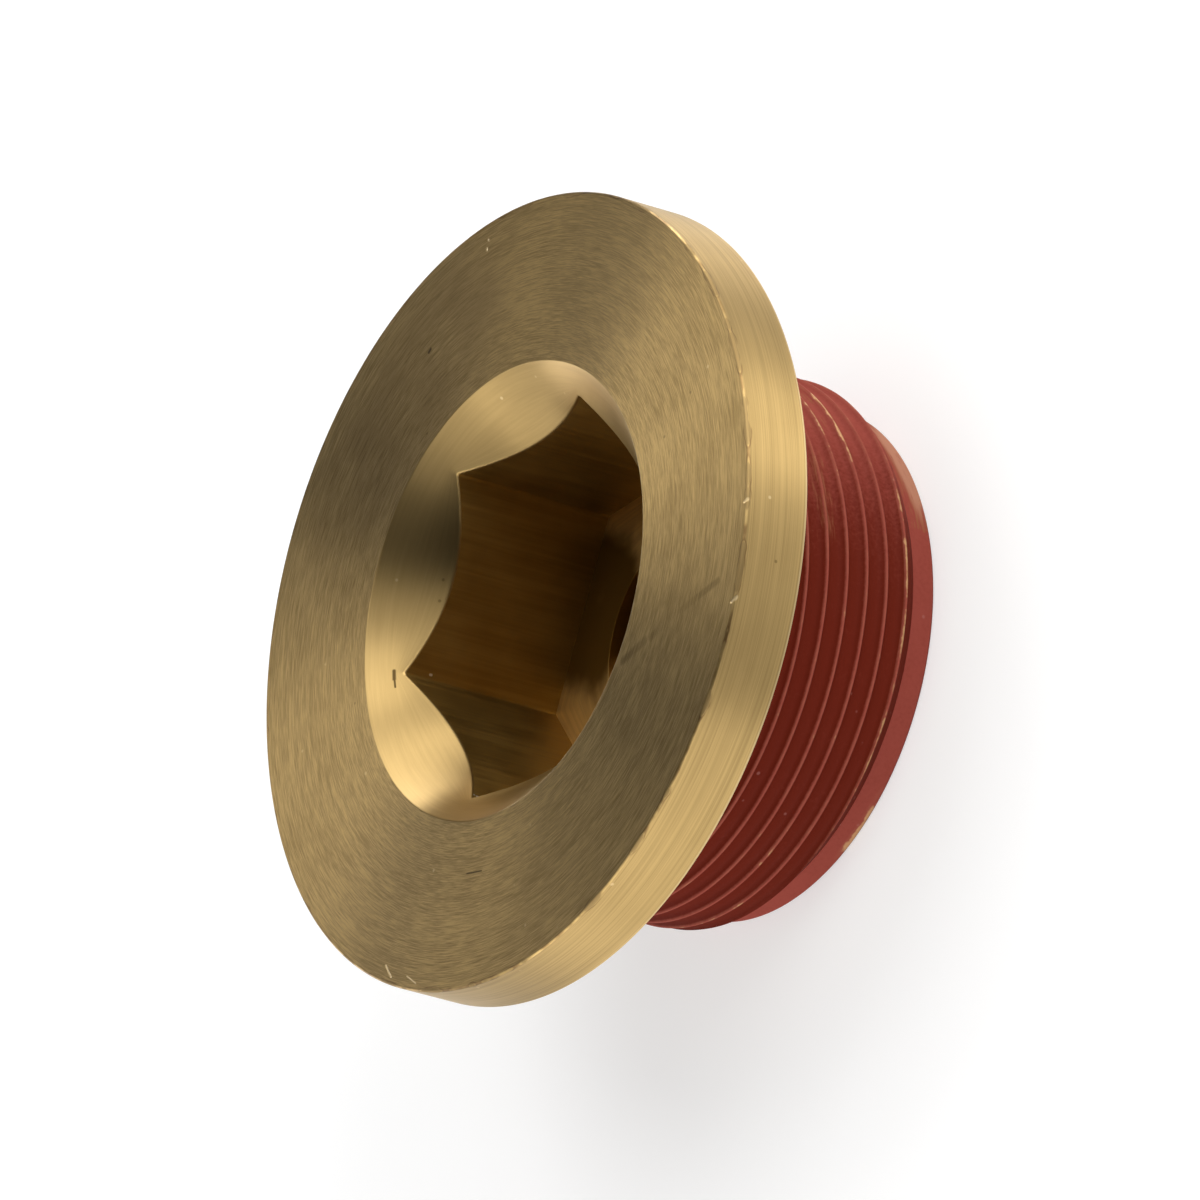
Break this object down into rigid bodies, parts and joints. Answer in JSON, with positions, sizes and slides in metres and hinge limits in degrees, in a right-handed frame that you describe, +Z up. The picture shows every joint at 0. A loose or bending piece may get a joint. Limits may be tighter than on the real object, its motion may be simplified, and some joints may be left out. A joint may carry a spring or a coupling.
{
  "type": "drain plug",
  "caption": "Round flanged brass drain plug with a countersunk hexagon drive socket in its face and a short shank with a fine right-hand thread, coated in dried red sealant.",
  "frame": {"origin": "centre of the end face of the shank, which the plug stands on", "axes": "+Z runs up the plug's axis from the end of the shank to the face of the flange; two flats of the hexagon socket are square to Y"},
  "size_m": [0.05, 0.05, 0.0208],
  "materials": {
    "brass": "satin, turned, with fine concentric tool marks"
  },
  "bodies": {
    "root": {"drain_plug": "brass"}
  },
  "joints": []
}
